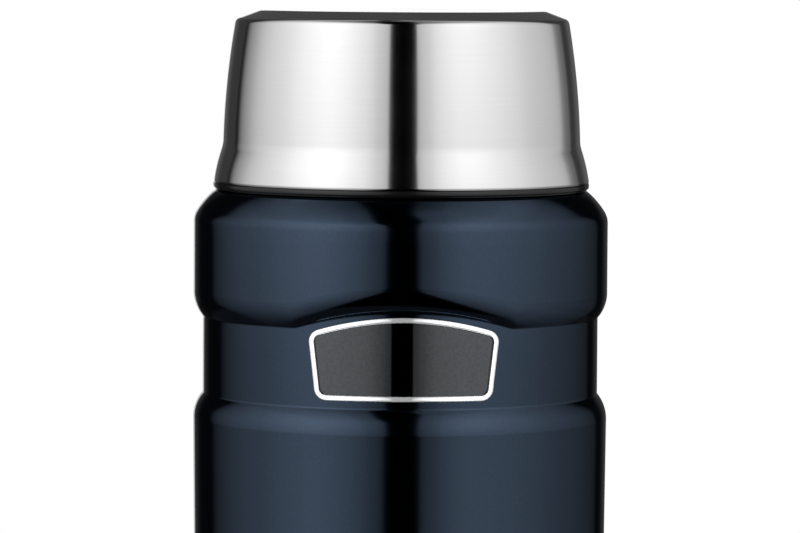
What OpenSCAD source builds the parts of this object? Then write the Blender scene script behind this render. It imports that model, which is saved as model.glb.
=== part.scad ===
// Wide-mouth vacuum food jar with a screw stopper and a screw-on serving-cup lid.
// Millimetres. The jar stands on z = 0, its axis is Z and the badge faces -Y.
// Sizes nest from the outside in: a wall, a gap or a clearance places the next piece.

/* [Body] */
// Widest diameter of the body
body_d = 97; // [92:0.5:102]
// Height of the shoulder, where the neck starts
shoulder_h = 142.8; // [136:0.2:148]
// Radius of the shoulder's outer corner
corner_round = 4.8; // [3:0.2:6]
// Radius of the dome between the shoulder's two corners
dome_round = 20; // [16:1:24]
// Radius of the shoulder's inner corner, under the lid
crown_round = 5; // [4:0.2:6]
// Slope of the shoulder where its dome starts, from the vertical
dome_start = 32; // [28:1:36]
// Slope of the shoulder where its dome ends, from the vertical
dome_end = 48; // [44:1:52]
// How much narrower the body is at its foot, on the radius
base_taper = 0.8; // [0:0.1:2]
// Radius of the bottom edge
foot_round = 4.8; // [3:0.2:6]
// Width of the flat ring that the jar stands on
foot_w = 2.2; // [1.5:0.1:3.5]
// Height of the rolled lip inside the foot
foot_lip = 2.4; // [1.6:0.1:3]
// Radius of the corner between the shoulder and the neck
neck_fillet = 1.2; // [0.8:0.1:1.6]
// Thickness of the outer steel sheet
sheet = 0.8; // [0.5:0.05:1]

/* [Waist] */
// Height of the waist's lower crease
waist_z = 94.6; // [88:0.2:98]
// Height of the waist between its two creases
waist_h = 18; // [17:0.2:20]
// Depth of the waist, on the radius
waist_depth = 2.2; // [1.6:0.1:2.6]
// Radius of the rounded edge under the waist
sill_round = 8.9; // [7:0.1:14]
// Slope of the taper over the waist, from the vertical
brow_angle = 36.5; // [30:0.5:40]
// Radius of the rounded edge over the waist
brow_round = 8.6; // [6:0.2:9]
// How far the upper crease arches up over the badge
arch_rise = 3.9; // [3:0.1:4.6]
// Angle from the front at which the arch ends
arch_half = 32; // [30:1:34]

/* [Vacuum jar] */
// Thickness of the liner's sheet
liner_sheet = 0.7; // [0.5:0.05:0.9]
// Gap between the two walls at the waist
vacuum_gap = 2; // [1.6:0.1:2.6]
// Gap between the two walls in the neck
neck_gap = 0.3; // [0.2:0.05:0.5]
// Height of the neck over the shoulder, with its lip
neck_h = 15.7; // [14.5:0.1:17]
// Height of the threaded wall inside the neck
mouth_h = 12.5; // [11:0.5:13]
// Width of the ledge that the stopper seals on
ledge = 1.8; // [1.4:0.1:2.2]
// Height of the liner's floor
floor_z = 12.5; // [12.5:0.5:16]
// Radius of the liner's bottom corner
liner_round = 8; // [6:0.5:9]
// Thickness of the reflecting foil
foil_t = 0.3; // [0.2:0.05:0.4]

/* [Base] */
// Height of the plate that closes the vacuum
plate_z = 5.2; // [5:0.1:6]
// Height of the plate's rim
plate_rim = 4; // [3:0.5:4.5]
// Height of the base cover's face, inside the foot
cover_z = 1.4; // [0.8:0.1:2]
// Diameter of the getter tablet
getter_d = 9; // [8:0.5:10]
// Thickness of the getter tablet
getter_h = 1.8; // [1.4:0.1:2]
// Width of the strip that holds the getter
clip_w = 5; // [4:0.5:6]
// Thickness of that strip
clip_t = 0.5; // [0.3:0.05:0.6]
// Radius of the hole that the air is drawn out through
port_r = 1.5; // [1:0.1:2]
// Height of the dimple round that hole
dimple_h = 1.1; // [0.9:0.1:1.4]

/* [Badge] */
// Width of the badge along its arched top
badge_w = 43; // [38:1:44]
// How much its sides lean in towards the bottom, on each side
badge_lean = 1.2; // [0:0.1:2]
// Height of the badge at its middle
badge_h = 18.4; // [16:0.2:18.6]
// Radius of the badge's corners
badge_round = 2.8; // [2:0.2:4]
// Radius of the badge's arched top
badge_arch = 64; // [56:1:80]
// Gap between the badge's top and the crease that arches over it
badge_gap = 1; // [0.6:0.1:2]
// Width of the badge's bright rim
badge_rim = 1.1; // [0.8:0.1:1.6]
// Thickness of the badge at its rim
rim_t = 0.8; // [0.7:0.05:1]
// Thickness of the badge's floor
tray_t = 0.5; // [0.3:0.05:0.5]
// Thickness of the adhesive pad
pad_t = 0.2; // [0.1:0.05:0.3]

/* [Lid] */
// Height of the lid with its ring
lid_h = 41.5; // [40.5:0.1:46]
// How far the ring under the lid is set in from the body, on the radius
ring_inset = 4.5; // [3.8:0.1:4.7]
// Height of the ring that shows under the steel
ring_h = 1.8; // [1.6:0.1:3]
// Thickness of the ring's threaded wall
ring_wall = 1.2; // [1:0.1:1.6]
// Height of the ring with its threaded wall
ring_tall = 15.2; // [13:0.2:15.8]
// Height of the flare, over the ring's bottom
flare_h = 10.1; // [8:0.1:12]
// How far the flare draws the lid in, on the radius
flare_w = 2.1; // [1.8:0.1:2.6]
// Height of the straight hem at the bottom of the lid's steel
hem_h = 0.6; // [0.4:0.1:1]
// How much narrower the lid is under its bevel, on the radius
lid_taper = 3.1; // [2:0.1:3.5]
// Width of the bevel round the top
bevel_w = 5.3; // [4:0.1:8]
// Height of the bevel round the top
bevel_h = 2.1; // [1.4:0.1:3]
// Bulge of the lid's wall out of a straight line
lid_bulge = 0.55; // [0.2:0.05:0.9]
// Gap between the lid's wall and its bowl
lid_gap = 1.2; // [1:0.1:1.5]
// Gap between the lid's top and its bowl
roof_gap = 4; // [3:0.2:5]
// How much narrower the lid's insulation is than its flat top, on the radius
roof_inset = 1.5; // [1:0.5:3]
// Thickness of the bowl's sheet
bowl_sheet = 0.7; // [0.5:0.05:0.8]
// Radius of the bowl's corner
bowl_round = 6; // [4:0.5:8]

/* [Stopper] */
// Room for the thread between neck and ring, on the radius
thread_room = 1.9; // [1.6:0.1:2.2]
// Room for the thread between plug and liner, on the radius
plug_room = 1.7; // [1.4:0.1:2]
// Length of the nose below the ledge
nose_len = 4.5; // [3.5:0.1:6]
// Thickness of the stopper's walls
plug_wall = 2.2; // [1.8:0.1:2.6]
// How far the stopper's flange stops short of the neck's outside
flange_inset = 0.5; // [0.2:0.1:1]
// Thickness of the stopper's flange
flange_t = 2.2; // [1.6:0.1:3]
// Width of the step between the flange and the grip
grip_step = 1; // [0.6:0.1:2]
// Room between the grip and the bowl over it
grip_room = 8; // [7:0.5:9]
// How much narrower the grip is at its top, on the radius
grip_taper = 0.9; // [0.4:0.1:1.4]
// Number of finger flutes round the grip
flute_count = 28; // [20:2:36]
// Radius of a finger flute
flute_r = 2.2; // [1.8:0.1:2.8]
// Depth of a finger flute
flute_depth = 0.9; // [0.6:0.1:1.1]
// Depth of the dish in the stopper's top
dish = 0.8; // [0.4:0.1:1.2]
// Width of the dish's sloping edge
dish_slope = 1.5; // [1:0.1:2]
// Width of the flat rim round the dish
grip_rim = 6; // [4:0.5:8]
// Gap between the nose and the ledge's edge
nose_gap = 0.8; // [0.6:0.1:1]
// Height of the gasket's outer edge
gasket_h = 1; // [0.8:0.1:1.4]
// Gap between the gasket and the threaded wall
gasket_gap = 0.5; // [0.4:0.1:0.8]

/* [Clearances] */
// Gap between a closed lid or stopper and what it stands over
rest_gap = 0.35; // [0.3:0.05:0.5]
// Gap between nested round walls that move on each other
fit_gap = 0.3; // [0.3:0.05:0.4]
// Gap between bonded layers
bond_gap = 0.05; // [0.05:0.01:0.08]
// Gap between thin pieces that are wrapped or laid on each other
lay_gap = 0.2; // [0.1:0.05:0.25]
// Gap between a pressed base and the wall that it is welded into
weld_gap = 0.15; // [0.1:0.05:0.2]

/* [Hidden] */
$fn = 120;

// Body and waist
body_r = body_d / 2;
base_r = body_r - base_taper;
foot_in = base_r - foot_round - foot_w;
waist_r = body_r - waist_depth;
sill_sweep = acos(1 - waist_depth / sill_round);
sill_z = waist_z - sill_round * sin(sill_sweep);
brow_z = waist_z + waist_h;
brow_arc_in = brow_round * (1 - cos(brow_angle));
brow_arc_z = brow_z + (waist_depth - brow_arc_in) / tan(brow_angle);
band_z = brow_arc_z + brow_round * sin(brow_angle);
corner_r = body_r - corner_round;
dome_r = corner_r - (dome_round - corner_round) * cos(dome_start);
crown_r = dome_r + (dome_round - crown_round) * cos(dome_end);
crown_z = shoulder_h - crown_round;
dome_z = crown_z - (dome_round - crown_round) * sin(dome_end);
shoulder_z = dome_z + (dome_round - corner_round) * sin(dome_start);

// Lid, then the neck and mouth inside it
ring_r = body_r - ring_inset;
lid_r = ring_r - flare_w;
lid_top_r = lid_r - lid_taper;
lid_flat_r = lid_top_r - bevel_w;
ring_round = 0.8;
hem_set = 0.2;
ring_flat_r = ring_r - ring_round;
lid_z = over_shoulder(ring_flat_r) + rest_gap;
lid_top = lid_z + lid_h;
hem_z = lid_z + ring_h;
kink_z = lid_z + flare_h;
bevel_z = lid_top - bevel_h;
flare_bulge = 0.2;
ring_top = lid_z + ring_tall;
ring_in = lid_r - sheet - fit_gap - ring_wall;
neck_r = ring_in - thread_room;
lip_z = shoulder_h + neck_h;
rim_z = lip_z - liner_sheet;
mouth_r = neck_r - sheet - neck_gap - liner_sheet;
seat_r = mouth_r - ledge;
seat_z = lip_z - mouth_h - ledge;
bowl_stack = sheet + lid_gap + bowl_sheet;
bowl_top = lid_top - sheet - roof_gap - bowl_sheet;

// Liner
liner_r = waist_r - sheet - vacuum_gap - liner_sheet;
liner_out = liner_r + liner_sheet;
liner_shoulder = liner_r - seat_r;
liner_shoulder_drop = 3.7;
liner_shoulder_z = shoulder_z - liner_shoulder_drop;
liner_turn = 70;
throat_z = liner_shoulder_z
    + liner_shoulder * (sin(liner_turn) + cos(liner_turn) * tan(90 - liner_turn));
weld_rise = 2;
weld_z = floor_z + liner_round + weld_rise;
getter_top = floor_z - liner_sheet - lay_gap;
clip_foot = 2.6;
dimple_z = plate_z + dimple_h;

// Stopper
plug_r = mouth_r - plug_room;
nose_r = seat_r - nose_gap;
nose_z = seat_z - nose_len;
gasket_in = nose_r + fit_gap;
gasket_out = mouth_r - gasket_gap;
gasket_top = on_ledge(gasket_out) + gasket_h;
cavity_r = nose_r - plug_wall;
flange_z = lip_z + rest_gap;
flange_top = flange_z + flange_t;
flange_r = neck_r - flange_inset;
grip_r = flange_r - grip_step;
grip_top = bowl_top - grip_room;

// Badge
badge_top = brow_z + arch_rise - badge_gap;
badge_z = badge_top - badge_h;
tray_low = bond_gap + pad_t + bond_gap;

// Points on an arc
function arc(centre, r, from, to, n) =
    [for (i = [0:n]) let (a = from + (to - from) * i / n) centre + r * [cos(a), sin(a)]];

function unit(v) = v / norm(v);

// A corner at b, between the lines to a and c, rounded with radius r
function fillet(a, b, c, r, n = 6) =
    let (
        u = unit(a - b),
        v = unit(c - b),
        half = acos(u * v) / 2,
        o = b + unit(u + v) * r / sin(half),
        p = b + u * r / tan(half) - o,
        q = b + v * r / tan(half) - o,
        from = atan2(p[1], p[0]),
        sweep = (atan2(q[1], q[0]) - from + 540) % 360 - 180
    )
    arc(o, r, from, from + sweep, n);

// The path moved sideways by t, to its left, as the far side of a bent sheet
function left_of(d) = [-d[1], d[0]];
function beside(path, t) =
    let (
        last = len(path) - 1,
        side = [for (i = [0:last - 1]) left_of(unit(path[i + 1] - path[i]))]
    )
    [for (i = [0:last])
        let (a = side[max(i - 1, 0)], b = side[min(i, last - 1)])
        path[i] + t * (a + b) / (1 + a * b)];

function reversed(path) = [for (i = [len(path) - 1:-1:0]) path[i]];

// A sheet of thickness t to the left of the path, as an outline
function strip(path, t) = concat(path, reversed(beside(path, t)));

// A straight line from p to q that bulges outwards, at height z
function bulged(p, q, bulge, z) =
    let (k = (z - p[1]) / (q[1] - p[1]))
    p[0] + (q[0] - p[0]) * k + 4 * bulge * k * (1 - k);

// Height of the shoulder's surface at radius r
function over_arc(centre, radius, r) = centre[1] + sqrt(radius * radius - pow(r - centre[0], 2));
function over_shoulder(r) =
    r < crown_r ? shoulder_h
    : r < crown_r + crown_round * cos(dome_end) ? over_arc([crown_r, crown_z], crown_round, r)
    : r < dome_r + dome_round * cos(dome_start) ? over_arc([dome_r, dome_z], dome_round, r)
    : over_arc([corner_r, shoulder_z], corner_round, r);

// Height of the gasket's sloping face over the ledge, at radius r
function on_ledge(r) = seat_z + r - seat_r + fit_gap * sqrt(2);

function lid_wall(z) = bulged([lid_r, kink_z], [lid_top_r, bevel_z], lid_bulge, z);
function lid_flare(z) = bulged([ring_r - hem_set, hem_z], [lid_r, kink_z], flare_bulge, z);
function heights(from, to, n) = [for (i = [0:n]) from + (to - from) * i / n];

// Edge of the upper band, from the crease over the waist out to a slope of the given angle
function brow_edge(last_angle, n) =
    concat([[waist_r, brow_z]],
        arc([body_r - brow_round, band_z], brow_round, -brow_angle, -last_angle, n));

// Outer surface of the shell, from the lip inside the foot up to the neck
shell_path = concat(
    [[foot_in, foot_lip], [foot_in, 0]],
    arc([base_r - foot_round, foot_round], foot_round, -90, 0, 10),
    arc([body_r - sill_round, sill_z], sill_round, 0, sill_sweep, 8),
    brow_edge(0, 6),
    arc([corner_r, shoulder_z], corner_round, 0, dome_start, 4),
    arc([dome_r, dome_z], dome_round, dome_start, dome_end, 3),
    arc([crown_r, crown_z], crown_round, dome_end, 90, 5),
    fillet([crown_r, shoulder_h], [neck_r, shoulder_h], [neck_r, lip_z], neck_fillet),
    [[neck_r, rim_z]]
);

module spin(outline) {
    rotate_extrude() polygon(outline);
}

module tube(r_out, r_in, z, h) {
    translate([0, 0, z]) difference() {
        cylinder(h = h, r = r_out);
        translate([0, 0, -1]) cylinder(h = h + 2, r = r_in);
    }
}

// What is pressed out of the upper band to arch over the badge, grown by a sheet's thickness.
// The band's edge is turned round an axis that leans back, so that its crease runs up at the front.
module arch_recess(grow = 0) {
    side_y = waist_r * cos(arch_half);
    margin = 2;
    reach = body_r - side_y + 2 * margin;
    half_w = waist_r * sin(arch_half) + margin + grow;
    tall = arch_rise + band_z - brow_z + 2 * margin;
    tilt = atan(arch_rise / (waist_r - side_y));
    lean = [[cos(tilt), sin(tilt)], [-sin(tilt), cos(tilt)]];
    last_angle = 5;
    below = 6;
    above = 16;
    edge = brow_edge(last_angle, 4);
    top = edge[len(edge) - 1];
    whole = concat(
        [edge[0] - below * [tan(brow_angle), 1]],
        edge,
        [top + above * [tan(last_angle), 1]]
    );
    leaned = [for (p = whole) [waist_r * cos(tilt), 0] + lean * (p - edge[0])];
    band = beside(leaned, grow);
    difference() {
        translate([-half_w, margin - side_y - reach - grow, brow_z - margin])
            cube([2 * half_w, reach + grow, margin + tall + grow]);
        translate([0, 0, brow_z - 2 * margin])
            cylinder(h = tall + 4 * margin + grow, r = waist_r - grow);
        translate([0, -waist_r, brow_z + arch_rise]) rotate([-tilt, 0, 0])
            translate([0, waist_r * cos(tilt), 0])
                spin(concat([[0, band[0][1]]], band, [[0, band[len(band) - 1][1]]]));
    }
}

module outer_shell() {
    core = concat([[0, rim_z], [0, 0]], shell_path);
    color("#26364f") union() {
        difference() {
            spin(strip(shell_path, sheet));
            arch_recess();
        }
        difference() {
            intersection() {
                spin(core);
                arch_recess(sheet);
            }
            arch_recess();
        }
    }
}

// Inner vessel from the weld at its bottom to the lip rolled over the neck
module liner_wall() {
    lip_round = liner_sheet + neck_gap;
    path = concat(
        [[liner_r, weld_z]],
        arc([liner_r - liner_shoulder, liner_shoulder_z], liner_shoulder, 0, liner_turn, 10),
        [[seat_r, throat_z], [seat_r, seat_z], [mouth_r, seat_z + ledge]],
        fillet([mouth_r, seat_z], [mouth_r, lip_z], [neck_r, lip_z], lip_round),
        [[neck_r, lip_z]]
    );
    color("#c9ccce") spin(strip(path, -liner_sheet));
}

module liner_base() {
    path = concat(
        [[0, floor_z]],
        arc([liner_r - liner_round, floor_z + liner_round], liner_round, -90, 0, 10),
        [[liner_r, weld_z]]
    );
    color("#c9ccce") spin(strip(path, -liner_sheet));
}

module foil_wrap() {
    r = liner_out + lay_gap;
    set_in = 2;
    color("#b87333")
        tube(r + foil_t, r, weld_z + set_in, liner_shoulder_z - weld_z - 2 * set_in);
}

module foil_disc() {
    color("#b87333")
        tube(liner_r - liner_round, getter_d / 2 + clip_foot + 4 * clip_t, getter_top - foil_t, foil_t);
}

module getter() {
    color("#6d6f73") translate([0, 0, getter_top - getter_h])
        cylinder(h = getter_h, d = getter_d);
}

// Bent strip that holds the getter up against the liner's floor
module getter_clip() {
    inner = getter_d / 2 + lay_gap;
    low = getter_top - getter_h - lay_gap - clip_t;
    high = floor_z - liner_sheet;
    bend = inner + clip_t;
    half = [[bend, low], [bend, high - clip_t], [bend + clip_foot, high - clip_t],
        [bend + clip_foot, high], [inner, high], [inner, low + clip_t]];
    other_half = [for (p = reversed(half)) [-p[0], p[1]]];
    color("#d8d8d4") translate([0, clip_w / 2, 0]) rotate([90, 0, 0])
        linear_extrude(clip_w) polygon(concat(half, other_half));
}

// Pan that closes the vacuum, with a dimple round the hole that the air was drawn out through
module vacuum_base() {
    r = base_r - sheet - weld_gap;
    dimple_r = port_r + 3.5;
    corner = 2 * sheet;
    path = concat(
        [[port_r, dimple_z], [dimple_r, dimple_z], [dimple_r + 1.2, plate_z]],
        fillet([0, plate_z], [r, plate_z], [r, plate_z + plate_rim], corner),
        [[r, plate_z + plate_rim]]
    );
    color("#b9bcbe") spin(strip(path, sheet));
}

// Drop of brazing metal under the port, inside the dimple
module seal_bead() {
    r = port_r + 1.7;
    h = dimple_h - lay_gap;
    color("#8c8f92") spin([
        [0, dimple_z], [r, dimple_z], [r * 0.8, dimple_z - h * 0.55],
        [r * 0.45, dimple_z - h * 0.9], [0, dimple_z - h]
    ]);
}

module base_cover() {
    r = foot_in - lay_gap;
    step = 0.5;
    corner = 1.5 * sheet;
    path = concat(
        [[0, cover_z], [r * 0.62, cover_z], [r * 0.66, cover_z + step]],
        fillet([0, cover_z + step], [r, cover_z + step], [r, plate_z], corner),
        [[r, plate_z]]
    );
    color("#b9bcbe") spin(strip(path, sheet));
}

// Outline of the badge, inset from its edge: an arched top, leaning sides and a flat bottom
function badge_outline(inset) =
    let (
        w = badge_w / 2 - badge_round,
        low = badge_z + badge_round,
        eye = badge_top - badge_arch,
        high = eye + sqrt(pow(badge_arch - badge_round, 2) - w * w),
        foot = w - badge_lean,
        lean = atan(badge_lean / (high - low)),
        turn = atan2(high - eye, w),
        r = badge_round - inset
    )
    concat(
        arc([-foot, low], r, 180 + lean, 270, 6),
        arc([foot, low], r, 270, 360 - lean, 6),
        arc([w, high], r, -lean, turn, 6),
        arc([0, eye], badge_arch - inset, turn, 180 - turn, 16),
        arc([-w, high], r, 180 - turn, 180 + lean, 6)
    );

// A piece of the badge, bent round the waist between two heights over its surface
module badge_layer(low, high, inset) {
    intersection() {
        tube(waist_r + high, waist_r + low, badge_z - 2, badge_h + 4);
        rotate([90, 0, 0]) linear_extrude(body_r + 1) polygon(badge_outline(inset));
    }
}

module badge_pad() {
    color("#e8e6df") badge_layer(bond_gap, bond_gap + pad_t, 2 * pad_t);
}

module badge_plate() {
    color("#d5d7d8") difference() {
        badge_layer(tray_low, tray_low + rim_t, 0);
        badge_layer(tray_low + tray_t, tray_low + rim_t + 1, badge_rim);
    }
}

module badge_inlay() {
    color("#14171c")
        badge_layer(tray_low + tray_t + bond_gap, tray_low + rim_t - bond_gap, badge_rim + bond_gap);
}

// Threaded plug with its nose below the gasket and its flange over the neck's lip
module stopper_body() {
    nose_round = 1.5;
    outline = concat(
        [[0, nose_z]],
        fillet([0, nose_z], [nose_r, nose_z], [nose_r, gasket_top], nose_round),
        [[nose_r, gasket_top], [plug_r, gasket_top], [plug_r, flange_z]],
        fillet([plug_r, flange_z], [flange_r, flange_z], [flange_r, flange_top], flange_t / 4),
        fillet([flange_r, flange_z], [flange_r, flange_top], [0, flange_top], flange_t / 4),
        [[cavity_r, flange_top], [cavity_r, nose_z + plug_wall], [0, nose_z + plug_wall]]
    );
    color("#1d1f22") spin(outline);
}

module stopper_foam() {
    low = nose_z + plug_wall + fit_gap;
    color("#e9e4d4") translate([0, 0, low])
        cylinder(h = flange_top - low - fit_gap, r = cavity_r - fit_gap);
}

// Hollow grip with finger flutes and a dished top
module stopper_cover() {
    r = grip_r;
    edge = 1.6;
    grip_h = grip_top - flange_top;
    dish_r = r - grip_taper - grip_rim;
    dish_z = grip_top - dish;
    hollow_r = r - flute_depth - plug_wall;
    shell = concat(
        [[r, flange_top]],
        fillet([r, flange_top], [r - grip_taper, grip_top], [0, grip_top], edge),
        [[dish_r, grip_top], [dish_r - dish_slope, dish_z], [0, dish_z]],
        [[0, dish_z - plug_wall], [hollow_r - grip_taper, dish_z - plug_wall], [hollow_r, flange_top]]
    );
    color("#1d1f22") difference() {
        spin(shell);
        for (i = [0:flute_count - 1]) rotate([0, 0, i * 360 / flute_count])
            translate([r + flute_r - flute_depth, 0, flange_top])
                rotate([0, -atan(grip_taper / grip_h), 0])
                    translate([0, 0, -1]) cylinder(h = grip_h + 3, r = flute_r, $fn = 24);
    }
}

module stopper_gasket() {
    color("#e4e2dc") spin([
        [gasket_in, on_ledge(gasket_in)], [gasket_out, on_ledge(gasket_out)],
        [gasket_out, gasket_top], [gasket_in, gasket_top]
    ]);
}

// Plastic ring under the lid, with the wall that the neck's thread turns in
module lid_ring() {
    wall_gap = sheet + fit_gap;
    outline = concat(
        [for (r = heights(ring_in, ring_flat_r, 6)) [r, over_shoulder(r) + rest_gap]],
        fillet([ring_in, lid_z], [ring_r, lid_z], [ring_r, hem_z], ring_round),
        [[ring_r, hem_z]],
        [for (z = heights(hem_z, kink_z, 4)) [lid_flare(max(z, hem_z + hem_h)) - wall_gap, z]],
        [[lid_wall(ring_top) - wall_gap, ring_top], [ring_in, ring_top]]
    );
    color("#1b1c1e") spin(outline);
}

// Steel bowl inside the lid, its rim on the ring
module lid_bowl() {
    corner_z = bowl_top - bowl_round;
    corner_r = lid_wall(corner_z) - bowl_stack;
    path = concat(
        [[lid_wall(ring_top) - sheet - fit_gap, ring_top]],
        [for (z = heights(ring_top, corner_z, 6)) [lid_wall(z) - bowl_stack, z]],
        arc([corner_r - bowl_round, corner_z], bowl_round, 6, 90, 8),
        [[0, bowl_top]]
    );
    color("#c9ccce") spin(strip(path, -bowl_sheet));
}

module lid_insulation() {
    low = bowl_top + bowl_sheet + fit_gap;
    color("#e9e4d4") translate([0, 0, low])
        cylinder(h = lid_top - sheet - fit_gap - low, r = lid_flat_r - roof_inset);
}

module lid_shell() {
    straight = 2;
    bevel_round = 1.6;
    path = concat(
        [[lid_flare(hem_z + hem_h), hem_z]],
        [for (z = heights(hem_z + hem_h, kink_z, 4)) [lid_flare(z), z]],
        [for (z = heights(kink_z + straight, bevel_z - straight, 7)) [lid_wall(z), z]],
        fillet([lid_wall(bevel_z - straight), bevel_z - straight], [lid_top_r, bevel_z],
            [lid_flat_r, lid_top], bevel_round, 4),
        [[lid_flat_r, lid_top], [0, lid_top]]
    );
    color("#c4c6c8") spin(strip(path, sheet));
}

outer_shell();
liner_wall();
liner_base();
foil_wrap();
foil_disc();
getter();
getter_clip();
vacuum_base();
seal_bead();
base_cover();
badge_pad();
badge_plate();
badge_inlay();
stopper_body();
stopper_foam();
stopper_cover();
stopper_gasket();
lid_ring();
lid_bowl();
lid_insulation();
lid_shell();
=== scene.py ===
# %% [markdown]
# # A wide-mouth vacuum food jar
#
# The jar is a dark blue lacquered steel body with a waist, a bare keystone badge over the waist, a screw
# stopper in its mouth and a brushed steel lid that doubles as a cup. Every visible piece is a wall of
# revolution or is wrapped round one, so this lesson is about lathe work: draw half of a section, turn it
# round the axis, and let the finish come from nodes. The construction is already there as a fixed frame,
# and each new piece rides on one of its bodies.

# %% Load the frame
import math

import bmesh
import bpy
import numpy as np
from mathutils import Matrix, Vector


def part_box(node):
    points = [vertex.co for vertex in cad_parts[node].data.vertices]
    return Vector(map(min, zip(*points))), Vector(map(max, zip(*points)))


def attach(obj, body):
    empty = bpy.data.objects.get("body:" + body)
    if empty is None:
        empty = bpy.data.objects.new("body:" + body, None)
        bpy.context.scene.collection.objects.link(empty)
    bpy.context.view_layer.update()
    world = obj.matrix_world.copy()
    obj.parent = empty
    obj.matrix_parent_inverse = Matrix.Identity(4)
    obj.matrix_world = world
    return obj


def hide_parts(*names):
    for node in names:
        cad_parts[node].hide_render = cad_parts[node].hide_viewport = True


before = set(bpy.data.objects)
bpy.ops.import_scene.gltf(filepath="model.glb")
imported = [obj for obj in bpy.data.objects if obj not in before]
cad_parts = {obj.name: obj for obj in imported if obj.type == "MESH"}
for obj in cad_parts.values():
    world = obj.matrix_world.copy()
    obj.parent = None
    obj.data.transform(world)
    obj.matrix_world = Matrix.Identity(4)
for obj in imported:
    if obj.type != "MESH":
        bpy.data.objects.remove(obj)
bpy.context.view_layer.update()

# %% [markdown]
# ## Sizes
#
# Blender works in metres here, but a jar is drawn in millimetres. All sizes below are millimetres, and
# `skin` turns them into metres. Outer sizes are read off the frame, so the new skins can't grow out of the
# construction. The body is even a hair smaller, because a circle of many short faces reaches further out
# than one of few. The lid's hem laps a little way down over the ring's band.

# %% Sizes from the frame
MM = 0.001
SHEET = 0.8
FACET_GAP = 0.016
RING_BAND = 1.8
HEM_LAP = 0.45


def reach(node):
    """Outer radius, lowest and highest point of a node, in millimetres."""
    low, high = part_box(node)
    return high.x / MM, low.z / MM, high.z / MM


shell_r, _, rim_z = reach("outer_shell")
body_r = shell_r - FACET_GAP
ring_r, _, ring_top = reach("lid_ring")
_, lid_shell_low, lid_top = reach("lid_shell")
lid_z = lid_shell_low - RING_BAND
hem_z = lid_shell_low - HEM_LAP
print(f"body {2 * body_r:.1f} wide, neck up to {rim_z:.1f}, lid from {lid_z:.1f} to {lid_top:.1f}")

# %% [markdown]
# Only the pressed forms have values of their own: the waist's depth, the rounded sill under it, the sloping
# brow over it with its arch, and the three arcs of the shoulder. All the rest follows from these.

# %% Forms of the pressed body
WAIST_DEPTH = 2.2
WAIST_R = body_r - WAIST_DEPTH
WAIST_Z = 94.6
SILL_R = 8.9
SILL_Z = WAIST_Z - SILL_R * math.sin(math.acos(1 - WAIST_DEPTH / SILL_R))
BROW_Z = 112.5
BROW_SLOPE = math.radians(36.5)
BROW_R = 8.6
ARCH_RISE = 3.9
ARCH_HALF = math.radians(32)
SHOULDER_TOP = 142.8
CORNER_R, DOME_R, CROWN_R = 4.8, 20.0, 5.0
DOME_START, DOME_END = 32, 48
NECK_R = 37.7
FOOT_R = 4.8
BASE_R = body_r - 0.8
print(f"waist {2 * WAIST_R:.1f} wide, from {WAIST_Z} to {BROW_Z}, arch {ARCH_RISE} high")

# %% [markdown]
# ## Drawing a section
#
# A section is a list of (radius, height) points. Straight lines need only their ends. A pressed corner is
# never sharp, so `arc` and `fillet` put the round ones in, and `beside` walks along a path at one sheet's
# distance, which gives the inside of a bent sheet the same corners as its outside.

# %% Section helpers


def arc(centre, radius, start, end, steps):
    """Points on an arc, from one angle to another in degrees."""
    turns = np.radians(np.linspace(start, end, steps + 1))
    return [(centre[0] + radius * math.cos(t), centre[1] + radius * math.sin(t)) for t in turns]


def fillet(before, corner, after, radius, steps=8):
    """The corner between two straight lines, rounded."""
    a, b, c = (np.array(p, float) for p in (before, corner, after))
    u = (a - b) / np.linalg.norm(a - b)
    v = (c - b) / np.linalg.norm(c - b)
    half = math.acos(float(np.clip(u @ v, -1, 1))) / 2
    centre = b + (u + v) / np.linalg.norm(u + v) * radius / math.sin(half)
    first, last = (b + w * radius / math.tan(half) - centre for w in (u, v))
    start = math.degrees(math.atan2(first[1], first[0]))
    sweep = (math.degrees(math.atan2(last[1], last[0])) - start + 540) % 360 - 180
    return arc(centre, radius, start, start + sweep, steps)


def beside(path, distance):
    """The path moved sideways, to its left."""
    p = np.array(path, float)
    along = np.diff(p, axis=0)
    along /= np.linalg.norm(along, axis=1)[:, None]
    left = np.stack([-along[:, 1], along[:, 0]], axis=1)
    a, b = np.vstack([left[:1], left]), np.vstack([left, left[-1:]])
    shift = (a + b) / (1 + (a * b).sum(axis=1))[:, None]
    return [tuple(q) for q in p + distance * shift]


def sheet_of(path, thickness):
    """A bent sheet's section: the path and the same path on the sheet's other side."""
    return list(path) + beside(path, thickness)[::-1]


def bulged(low, high, bulge, z):
    """Radius at height z on a line that bulges a little outwards."""
    k = (z - low[1]) / (high[1] - low[1])
    return low[0] + (high[0] - low[0]) * k + 4 * bulge * k * (1 - k)


print("a quarter circle:", [tuple(round(c, 2) for c in p) for p in arc((0, 0), 1, 0, 90, 2)])

# %% [markdown]
# ## From a section to a mesh
#
# Blender's Screw modifier could turn the sections, but the body's waist changes its form over the badge, so
# its rows aren't circles. One function that skins any grid of points does for all pieces: the rows follow
# the section and the columns run round the axis. Rows that meet on the axis are welded into a point.

# %% Mesh helpers
COLUMNS = 192
CREASE = math.radians(32)


def finish_mesh(mesh, weld=1e-7):
    """Welds doubled points, turns the faces outwards and smooths all but the sharp edges."""
    work = bmesh.new()
    work.from_mesh(mesh)
    bmesh.ops.remove_doubles(work, verts=work.verts, dist=weld)
    bmesh.ops.dissolve_degenerate(work, edges=work.edges, dist=weld)
    bmesh.ops.recalc_face_normals(work, faces=work.faces)
    work.to_mesh(mesh)
    work.free()
    mesh.polygons.foreach_set("use_smooth", [True] * len(mesh.polygons))
    mesh.set_sharp_from_angle(angle=CREASE)


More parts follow.
